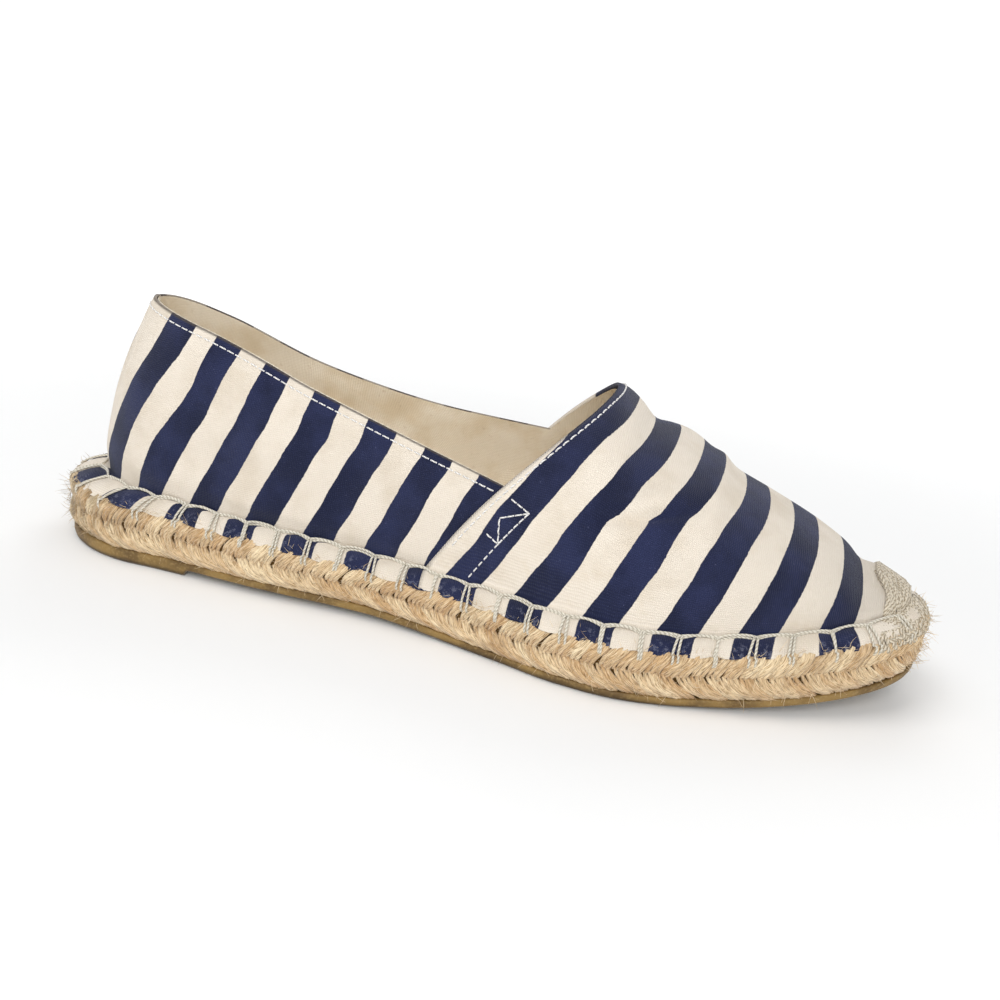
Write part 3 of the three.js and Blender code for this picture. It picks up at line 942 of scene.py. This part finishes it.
def striped_canvas():
    """Cotton canvas in a plain weave with navy stripes printed on cream. The print misses threads
    here and there, has a painted highlight on the crowns of the weave and cracks white where the
    cloth is turned out. The cream has yellowed unevenly and has painted shade between the threads,
    and hands have browned the rim of the opening. A little fluff gives it a soft sheen."""
    matt = {"Specular_IOR_Level": 0.15, "Sheen_Weight": 0.12}
    material, tree, shader = new_material("canvas_striped_woven", 0.88, **matt)
    place = add(tree, "ShaderNodeTexCoord", {}, "Object")
    weave = weave_of(tree, 0.52)
    stripe = add(tree, "ShaderNodeAttribute", {}, "Fac", attribute_name="stripe")
    fuzz = speckle(tree, place, 1.1 * mm, 2.0)
    offset = add(tree, "ShaderNodeMath", {0: fuzz, 1: 0.02, 2: 0.49}, operation="MULTIPLY_ADD")
    shifted = add(tree, "ShaderNodeMath", {0: stripe, 1: offset}, operation="ADD")
    part = add(tree, "ShaderNodeMath", {0: shifted, 1: 1.0}, operation="FLOORED_MODULO")
    from_middle = add(tree, "ShaderNodeMath", {0: part, 1: 0.5}, operation="SUBTRACT")
    from_middle = add(tree, "ShaderNodeMath", {0: from_middle}, operation="ABSOLUTE")
    navy_share = ramp(tree, from_middle, 0.256, 0.244)
    cloud = speckle(tree, place, 14 * mm, 4.0)
    missed = ramp(tree, speckle(tree, place, 0.55 * mm, 2.0), 0.66, 0.8, 0, 0.3)
    navy = mix(tree, ramp(tree, cloud, 0.35, 0.7), "#181d36", "#252b4b")
    # painted highlight: the navy is lightened on the crowns of the weave
    navy = mix(tree, ramp(tree, weave, 0.55, 1.0, 0, 0.22), navy, "#454c6e")
    navy = mix(tree, missed, navy, "#737899")
    wear = add(tree, "ShaderNodeAttribute", {}, "Fac", attribute_name="wear")
    cracks = ramp(tree, speckle(tree, place, 1.5 * mm, 5.0, 0.75), 0.5, 0.62)
    cracked = add(tree, "ShaderNodeMath", {0: wear, 1: cracks}, operation="MULTIPLY")
    navy = mix(tree, ramp(tree, cracked, 0, 1, 0, 0.25), navy, "#9a9db0")
    cream = mix(tree, ramp(tree, cloud, 0.42, 0.72), "#e5dbcd", "#d9cdbc")
    cream = mix(tree, ramp(tree, speckle(tree, place, 5 * mm, 5.0), 0.56, 0.78, 0, 0.35), cream, "#d9cbb4")
    # painted shade: the cream is darkened between the threads of the weave
    cream = mix(tree, ramp(tree, weave, 0.45, 0.0, 0, 0.3), cream, "#c8b9a0")
    cloth = mix(tree, navy_share, cream, navy)
    rim = ramp(tree, wear, -0.2, -1.0, 0, 0.7)
    tree.links.new(mix(tree, rim, cloth, "#574b3f"), shader.inputs["Base Color"])
    finish_bump(tree, shader, weave, 0.16 * mm, 0.8)
    return material


canvas = striped_canvas()
quarter_form = cloth_form(420, flange_rows + wall_rows + hem_rows, quarter_cloth_at)
bmesh.ops.recalc_face_normals(quarter_form, faces=quarter_form.faces)
quarter = to_piece(quarter_form, "quarter_cloth", canvas)
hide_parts("upper")

# --- Vamp -----------------------------------------------------------------------------------
# Striped canvas over the forefoot, with straight crosswise stripes that bend over the ridge.
# It laps over the quarter's ends; its rear edge is folded in and topstitched.
vamp_flange_shift = 0.5
vamp_stripe_place = 100.6
vamp_stripe_belly = 1.4
throat_stripe_pull = 0.9
ridge_shift = 1.8
tucked_print = 1.5
last_navy_squeeze = 1.45
vamp_stripe_lean = 0.69
vamp_stripe_pitch = 20.3
vamp_stripe_taper = 0.0596
last_stripe = 6.5
vamp_side_rows = 7
vamp_over_rows = 130
vamp_long_rows = 110


def vamp_stripe(along, z, flange=0):
    """Stripe number on the vamp, counted from the throat; the toe beyond the last is cream."""
    place = along + vamp_flange_shift * smoothstep(0, 0.35, flange)
    belly = vamp_stripe_belly * (1 - 0.8 * smoothstep(186, 204, along))
    place += belly * math.exp(-(((z - 46) / 13) ** 2))
    in_tuck = smoothstep(158, 168, along) * (1 - smoothstep(188, 196, along))
    place += tucked_print * in_tuck * (0.5 - smoothstep(44.6, 46.4, z - 0.14 * (along - 176)))
    place += throat_stripe_pull * (1 - smoothstep(4, 16, along - throat_along(z)))
    on_ridge = smoothstep(0.84, 1, z / roof_at(along))
    place -= ridge_shift * on_ridge * smoothstep(160, 172, along) * (1 - smoothstep(200, 222, along))
    ripple = 0.6 * noise.noise(Vector((along / 16, z / 9, 2)))
    ripple += 0.3 * noise.noise(Vector((along / 7, z / 5, 4)))
    number = place + ripple - vamp_stripe_place - vamp_stripe_lean * z
    number /= vamp_stripe_pitch - vamp_stripe_taper * z
    number += max(0, number - 6) * (last_navy_squeeze - 1)
    return min(number, last_stripe)


def vamp_cloth_at(u, v):
    """u runs over the vamp from raw edge to raw edge; v from inside the fold to the toe."""
    column = round(u * (2 * vamp_side_rows + vamp_over_rows))
    row = round(v * (hem_rows + vamp_long_rows))
    flange = max(0, vamp_side_rows - column, column - vamp_side_rows - vamp_over_rows) / vamp_side_rows
    over = min(max(column - vamp_side_rows, 0), vamp_over_rows) / vamp_over_rows
    across = 2 * over - 1
    side = INNER if across < 0 else OUTER
    start = throat_start(across)
    run = max(row - hem_rows, 0) / vamp_long_rows
    t = start + (1 - start) * math.sin(run * math.pi / 2) * 0.999
    if flange:
        along = last_outline(t)[0]
        walk = walk_to(along, side)
        point = flange_point(t, side, flange, walk)
        stripe = vamp_stripe(along, edge_at(along) + stitch_rise, flange)
        return point, (along, across * 60 + side * flange * 8), stripe, smoothstep(0.3, 0.85, flange)
    point = vamp_point(across, t)
    stripe = vamp_stripe(point.x, point.z)
    if row < hem_rows:
        roll = (hem_rows - row) / hem_rows * (math.pi * hem_radius + hem_depth)
        ahead = vamp_point(across, t + 0.012)
        angle = math.pi / 2 * (1 - abs(across))
        facing = Vector((0.3, side * math.cos(angle), math.sin(angle))).normalized()
        backward_way = (point - ahead).normalized()
        facing = (facing - backward_way * facing.dot(backward_way)).normalized()
        point = hem_offset(point, ahead, facing, roll)
    return point, (point.x, across * 60), stripe, -0.4 if row < hem_rows else 0.0


vamp_form = cloth_form(2 * vamp_side_rows + vamp_over_rows, hem_rows + vamp_long_rows, vamp_cloth_at)
bmesh.ops.recalc_face_normals(vamp_form, faces=vamp_form.faces)
vamp = to_piece(vamp_form, "vamp_cloth", canvas)
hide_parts("upper")

# --- Topstitching ---------------------------------------------------------------------------
# White cotton lockstitch a little in from the folded edges. It holds fold and lining.
stitch_inset = 2.2
stitch_length = 1.85
stitch_space = 0.7
stitch_radius = 0.22
crossing_along = 138.5


def sew(form, route, radius=stitch_radius, dash=stitch_length, space=stitch_space):
    """Cuts a route of (point, facing) pairs into stitches, whose ends dip into the cloth."""
    walked = list(accumulate(((b[0] - a[0]).length / mm for a, b in zip(route, route[1:])), initial=0))
    spots = [spot for spot, _ in route]
    facings_there = [facing for _, facing in route]
    start = 0
    while start + dash <= walked[-1]:
        path, facings = [], []
        for i in range(6):
            t = i / 5
            facing = between(walked, facings_there, start + dash * t).normalized()
            lift = radius * (1.5 * math.sin(math.pi * t) ** 0.5 - 0.5)
            path.append(between(walked, spots, start + dash * t) + facing * lift * mm)
            facings.append(facing)
        add_strand(form, path, facings, [radius] * 6, 0.5, 6)
        start += dash + space
    return form


def quarter_spot(walk, z_share):
    """Point of the quarter's outer face in the frame, and the direction that it faces."""
    point = quarter_point(walk, z_share, quarter_depth)
    onward = quarter_point(walk + 0.8, z_share, quarter_depth) - point
    upward_way = quarter_point(walk, z_share + 0.02, quarter_depth) - point
    return to_frame(*point), upward_way.cross(onward).normalized()


def vamp_spot(across, t):
    """The same on the vamp."""
    point = vamp_point(across, t)
    over = vamp_point(min(across + 0.02, 1), t) - vamp_point(across - 0.02, t)
    ahead = vamp_point(across, t + 0.004) - point
    return to_frame(*point), ahead.cross(over).normalized()


def collar_route():
    route = []
    steps = 300
    for i in range(steps + 1):
        walk = quarter_walks[INNER] + (quarter_walks[OUTER] - quarter_walks[INNER]) * i / steps
        side, t, _, z = quarter_place(walk, 1, quarter_depth)
        height = z - edge_at(last_outline(t)[0]) - stitch_rise
        if last_outline(t)[0] < crossing_along:
            route.append(quarter_spot(walk, 1 - stitch_inset / height))
    return route


def throat_route(reach=0.93):
    steps = 200
    route = []
    for i in range(steps + 1):
        across = -reach + 2 * reach * i / steps
        route.append(vamp_spot(across, throat_start(across) + 2 / 238))
    return route


def cotton_thread(name, light, dark):
    """Mercerised cotton: two plies twisted round each other, a painted highlight on each turn and
    painted shade between the plies, and grey where hands and dust have rubbed it."""
    material, tree, shader = new_material(name, 0.6, Specular_IOR_Level=0.35, Sheen_Weight=0.2)
    flat = add(tree, "ShaderNodeUVMap", {}, uv_map="flat")
    place = add(tree, "ShaderNodeTexCoord", {}, "Object")
    twist = {"Vector": flat, "Scale": 0.55, "Distortion": 0.6, "Detail": 1.0}
    ply = add(tree, "ShaderNodeTexWave", twist, bands_direction="DIAGONAL")
    dust = speckle(tree, place, 3 * mm, 4.0)
    # painted highlight and shade: the ply wave runs from the dark colour between the plies to the light one
    # on each turn; the dark colour also serves for the dust
    colour = mix(tree, ramp(tree, ply, 0.1, 0.6), dark, light)
    tree.links.new(mix(tree, ramp(tree, dust, 0.5, 0.75, 0, 0.5), colour, dark), shader.inputs["Base Color"])
    finish_bump(tree, shader, ply, 0.15 * mm, 0.8)
    return material


sewing_thread = cotton_thread("thread_white_lockstitch", "#f4f2ee", "#c9c6c4")
topstitch = to_piece(sew(bmesh.new(), collar_route()), "topstitch_quarter", sewing_thread)
throat_stitch = to_piece(sew(bmesh.new(), throat_route()), "topstitch_vamp", sewing_thread)

# --- Corner tacks ---------------------------------------------------------------------------
# A box of zigzag stitches at each corner of the throat ties vamp to quarter, and from it a line
# of stitches runs down the vamp to the sole.
# distance ahead of the throat's edge, and height
tack_corners = ((5, 43.2), (12.1, 41), (12.2, 31), (6.9, 33))
tack_zigzag = ((12.1, 41), (6.8, 37.8), (12.2, 31))
tack_tail = ((12.2, 31), (12.3, 19))


def vamp_at(ahead, z, side):
    """Spot on the vamp a distance ahead of the throat's edge, at a height."""
    t = (throat_along(z) + ahead - heel_ledge) / (sole_length - toe_ledge - heel_ledge)
    return vamp_spot(side * (1 - angle_at_height(t, z) / (math.pi / 2)), t)


def tack_route(corners, side, steps=16):
    route = []
    for (ahead, z), (next_ahead, next_z) in zip(corners, corners[1:]):
        for i in range(steps + 1):
            t = i / steps
            route.append(vamp_at(ahead + (next_ahead - ahead) * t, z + (next_z - z) * t, side))
    return route


for side, side_name in ((INNER, "inner"), (OUTER, "outer")):
    tack_form = bmesh.new()
    sew(tack_form, tack_route(tack_corners, side), dash=1.6, space=0.5)
    sew(tack_form, tack_route(tack_zigzag, side), dash=1.8, space=0.4)
    sew(tack_form, tack_route(tack_tail, side), dash=1.4, space=1.0)
    tack = to_piece(tack_form, f"tack_{side_name}", sewing_thread)

# --- Blanket stitch -------------------------------------------------------------------------
# Thick waxed cotton, two threads side by side, that sews the canvas to the rope: it runs along
# the seam and turns down over the raw edge into the rope at every stitch.
seam_thread_radius = 0.33
seam_thread_apart = 0.34
seam_thread_out = 0.24
leg_into_jute = 0.2
guard_along = 242
quarter_to_vamp = 121.5


def seam_spot(walk, share, lift):
    """Point over the turned-out edge, and the direction it faces; share 0 is the seam."""
    side, t = last_share(walk)
    grow = quarter_depth if last_outline(t)[0] < quarter_to_vamp else 0
    spot, outward = sole_edge(side * between(*sole_arcs[side], edge_share(t)))
    facing = Vector((outward.x * 0.6, outward.y * 0.6, 1 - 0.35 * share)).normalized()
    return to_frame(*flange_point(t, side, share, walk, grow)) + facing * lift * mm, facing


def add_leg(form, walk, aside, chance):
    """One stitch down over the raw edge into the rope."""
    side, t = last_share(walk)
    sole_walk = side * between(*sole_arcs[side], edge_share(t))
    lean = chance.uniform(-0.7, 0.7)
    path, facings = [], []
    for share, lift in ((0.16, 0.1), (0.26, 0.7), (0.45, 0.6), (0.68, 0.6), (0.9, 0.65), (1.02, 0.5)):
        point, facing = seam_spot(walk + aside + lean * share, max(share, 0), lift)
        path.append(point)
        facings.append(facing)
    for height, proud in ((0.97, 1.0), (0.88, 0.75), (1 - leg_into_jute, 0.1), (0.74, -0.9)):
        point, facing = jute_side(sole_walk + aside + lean, height, proud)
        path.append(point)
        facings.append(facing)
    add_strand(form, path, facings, [seam_thread_radius] * len(path), 0.5, 8, 10 * walk)


def add_run(form, walk, aside, chance):
    """The stretch along the seam from one leg to the next."""
    path, facings = [], []
    steps = 9
    bow = chance.uniform(-0.3, 0.4)
    for i in range(steps):
        t = i / (steps - 1)
        slack = math.sin(math.pi * t)
        point, facing = seam_spot(walk + leg_pitch * t, seam_thread_out - 0.14 * slack, 0.3 + 0.2 * slack)
        point.z += (aside * (0.55 + 0.45 * math.cos(2 * math.pi * t)) + bow * slack) * mm
        path.append(point)
        facings.append(facing)
    add_strand(form, path, facings, [seam_thread_radius] * steps, 0.5, 8, 7 * walk)


seam_chance = random.Random(21)
seam_form = bmesh.new()
first_leg = math.ceil(walk_to(guard_along, INNER) / leg_pitch)
last_leg = math.floor(walk_to(guard_along, OUTER) / leg_pitch)
for k in range(first_leg - 1, last_leg + 2):
    for aside in (-seam_thread_apart, seam_thread_apart):
        add_leg(seam_form, k * leg_pitch, aside, seam_chance)
        add_run(seam_form, k * leg_pitch, aside, seam_chance)
bmesh.ops.recalc_face_normals(seam_form, faces=seam_form.faces)
seam_thread = cotton_thread("thread_cream_waxed", "#dcd6c8", "#b5ad9b")
blanket_stitch = to_piece(seam_form, "blanket_stitch", seam_thread)

# --- Toe guard ------------------------------------------------------------------------------
# Thick cream cotton darned over the tip of the toe: threads fan out from the vamp over the raw
# edge into the rope, and others are woven through them round the toe.
guard_middle = Vector((240, -4))
guard_spread = 11
guard_inset = 2.4
guard_back = 2.4
guard_threads = 46
guard_rounds = 12
guard_radius = 0.54
guard_lift = 0.2
guard_wave = 0.34


def guard_plan(q, share):
    """Place on the toe seen from above; q runs from -1 at the inner side to 1 at the outer."""
    start = guard_middle + Vector((guard_back * q * q, guard_spread * q))
    inner_end = between(*sole_arcs[INNER], guard_along / sole_length)
    outer_end = between(*sole_arcs[OUTER], guard_along / sole_length)
    inner_left = sole_arcs[INNER][1][-1] - inner_end
    outer_left = sole_arcs[OUTER][1][-1] - outer_end
    step = (q + 1) / 2 * (inner_left + outer_left)
    walk = -(inner_end + step) if step < inner_left else sole_arcs[OUTER][1][-1] - (step - inner_left)
    spot, outward = sole_edge(walk)
    return start.lerp(spot - outward * guard_inset, share), walk


def seat_of_guard(place):
    """Height of the vamp or of its turned-out edge under a place seen from above."""
    t = (place.x - heel_ledge) / (sole_length - toe_ledge - heel_ledge)
    half = last_outline(min(t, 1))[1]
    away_share = abs(place.y - middle_at(place.x)) / half if half > 0.01 else 2
    if t >= 1 or away_share >= 1:
        return None
    return last_surface(t, INNER, math.acos(away_share ** (last_side_fullness / 2))).z


def guard_point(q, share, wave):
    """Point of the darning and its facing; beyond share 1 it goes down into the rope."""
    place, walk = guard_plan(q, min(share, 1))
    outward = sole_edge(walk)[1]
    if share > 1:
        return jute_side(walk, 1 - (share - 1), 0.4 + wave - 3 * max(0, share - 1.12))
    z = seat_of_guard(place)
    if z is None:
        low, high = 0.0, share
        for _ in range(12):
            middle = (low + high) / 2
            if seat_of_guard(guard_plan(q, middle)[0]) is None:
                high = middle
            else:
                low = middle
        down = (share - low) / (1 - low)
        z = edge_at(place.x) + stitch_rise - (stitch_rise - flange_thickness * 0.7) * down
    slope = smoothstep(0.35, 1, share)
    facing = Vector((outward.x * slope, outward.y * slope, 1.1 - 0.5 * slope)).normalized()
    return to_frame(place.x, place.y, z) + facing * (guard_lift + wave) * mm, facing


guard_chance = random.Random(5)
guard_form = bmesh.new()
for i in range(guard_threads):
    q = -1 + 2 * i / (guard_threads - 1)
    start = guard_chance.uniform(-0.02, 0.06)
    end = 1.2 + guard_chance.uniform(-0.04, 0.04)
    path, facings = [], []
    steps = guard_rounds * 4
    for j in range(steps + 1):
        share = start + (end - start) * j / steps
        wave = guard_wave * math.cos(math.pi * (share * (guard_rounds - 1) + i))
        sway = 0.008 * math.sin(9 * share + 2.1 * i)
        dive = 1.6 * max(0, 1 - j / 3)
        point, facing = guard_point(min(max(q + sway, -1), 1), share, wave - dive)
        path.append(point)
        facings.append(facing)
    add_strand(guard_form, path, facings, [guard_radius] * (steps + 1), 0.5, 6, 31 * i)
for k in range(guard_rounds):
    share = 0.02 + 0.98 * k / (guard_rounds - 1)
    path, facings = [], []
    steps = guard_threads * 4
    for j in range(steps + 1):
        q = -1 + 2 * j / steps
        rounds = share * (guard_rounds - 1) + (q + 1) / 2 * (guard_threads - 1)
        wave = -guard_wave * math.cos(math.pi * rounds)
        drift = 0.012 * math.sin(5 * q + 1.7 * k)
        point, facing = guard_point(q, max(share + drift, 0), wave)
        path.append(point)
        facings.append(facing)
    add_strand(guard_form, path, facings, [guard_radius] * (steps + 1), 0.5, 6, 57 * k)
bmesh.ops.recalc_face_normals(guard_form, faces=guard_form.faces)
guard_material = cotton_thread("thread_cream_darned", "#d3c8b4", "#9b8d76")
toe_guard = to_piece(guard_form, "toe_guard_darning", guard_material)
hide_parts("toe_cap")

# --- Stray fibres ---------------------------------------------------------------------------
# Ends of jute that have worked loose from the rope and stand off it in all directions.
fibre_count = 2600
fibre_chance = random.Random(14)
fibre_form = bmesh.new()
for _ in range(fibre_count):
    walk = fibre_chance.uniform(-sole_arcs[INNER][1][-1], sole_arcs[OUTER][1][-1])
    height = fibre_chance.uniform(0.02, 1.15)
    root, facing = jute_side(walk, height, 0.3)
    turn = Vector([fibre_chance.gauss(0, 1) for _ in range(3)]).normalized()
    way = (facing * fibre_chance.uniform(0.15, 1.0) + turn).normalized()
    curl = Vector([fibre_chance.gauss(0, 1) for _ in range(3)]).normalized()
    reach = fibre_chance.uniform(1.0, 3.4) * mm
    rise = facing * 0.5 * mm
    path = [root + way * reach * t + curl * reach * 0.45 * t * t + rise * t for t in (0, 0.3, 0.6, 1)]
    path = [Vector((p.x, p.y, max(p.z, 0.6 * mm))) for p in path]
    thickness = fibre_chance.uniform(0.045, 0.085)
    radii = [thickness, thickness, thickness * 0.8, thickness * 0.3]
    fibre_tint = fibre_chance.uniform(0.4, 1)
    fibre_start = fibre_chance.uniform(0, 90)
    add_strand(fibre_form, path, [facing] * 4, radii, fibre_tint, 3, fibre_start)
jute_fibres = to_piece(fibre_form, "jute_fibres", jute_yarn)

# --- Floor and light ------------------------------------------------------------------------
# A plain pale floor with a large soft light overhead, one in front, one behind and a pale sky.
# The floor rises in a wide cove all round, whose top edge shows only in a view from very low
# down. It glows a little away from the shoe, so that it is much the same pale white all over.
floor_radius = 1.3
cove_radius = 1.2
cove_steps = 12
floor_form = bmesh.new()
profile = [floor_form.verts.new((0.001, 0, 0)), floor_form.verts.new((floor_radius, 0, 0))]
for i in range(1, cove_steps + 1):
    turn = math.radians(80) * i / cove_steps
    across = floor_radius + cove_radius * math.sin(turn)
    profile.append(floor_form.verts.new((across, 0, cove_radius * (1 - math.cos(turn)))))
outline = [floor_form.edges.new(pair) for pair in zip(profile, profile[1:])]
full_turn = {"cent": (0, 0, 0), "axis": (0, 0, 1), "angle": 2 * math.pi, "steps": 64}
bmesh.ops.spin(floor_form, geom=profile + outline, **full_turn)
bmesh.ops.remove_doubles(floor_form, verts=floor_form.verts, dist=0.0001)
bmesh.ops.recalc_face_normals(floor_form, faces=floor_form.faces)
floor_material, floor_tree, floor_shader = new_material("floor_pale_matt", 0.9, Specular_IOR_Level=0.1)
floor_place = add(floor_tree, "ShaderNodeTexCoord", {}, "Object")
floor_tone = mix(floor_tree, speckle(floor_tree, floor_place, 0.4), "#f6f6f5", "#f9f9f8")
floor_tree.links.new(floor_tone, floor_shader.inputs["Base Color"])
floor_reach = add(floor_tree, "ShaderNodeVectorMath", {0: floor_place}, "Value", operation="LENGTH")
floor_shader.inputs["Emission Color"].default_value = linear("#ffffff")
floor_glow = ramp(floor_tree, floor_reach, 0.12, 0.8, 0, 0.5)
floor_tree.links.new(floor_glow, floor_shader.inputs["Emission Strength"])
floor_mesh = bpy.data.meshes.new("floor")
floor_form.to_mesh(floor_mesh)
floor_form.free()
floor_mesh.shade_smooth()
floor_mesh.materials.append(floor_material)
floor = bpy.data.objects.new("floor", floor_mesh)
bpy.context.scene.collection.objects.link(floor)

# name: place and size in metres, power in watts
soft_lights = {
    "overhead": ((-0.25, -0.25, 0.85), 0.55, 2.6),
    "front": ((0.12, -0.72, 0.5), 0.4, 2.9),
    "behind": ((0.1, 0.8, 0.6), 0.6, 2.0),
}
for light_name, (light_place, light_size, power) in soft_lights.items():
    light = bpy.data.objects.new(light_name, bpy.data.lights.new(light_name, "AREA"))
    light.location = light_place
    light.data.size = light_size
    light.data.energy = power
    light.rotation_mode = "QUATERNION"
    light.rotation_quaternion = (Vector(light_place) - shoe_middle).to_track_quat("Z", "Y")
    bpy.context.scene.collection.objects.link(light)
sky = bpy.data.worlds.new("pale_sky")
sky.use_nodes = True
sky.node_tree.nodes["Background"].inputs["Color"].default_value = linear("#f6f7fa")
sky.node_tree.nodes["Background"].inputs["Strength"].default_value = 0.46
bpy.context.scene.world = sky
bpy.context.scene.view_settings.view_transform = "Standard"
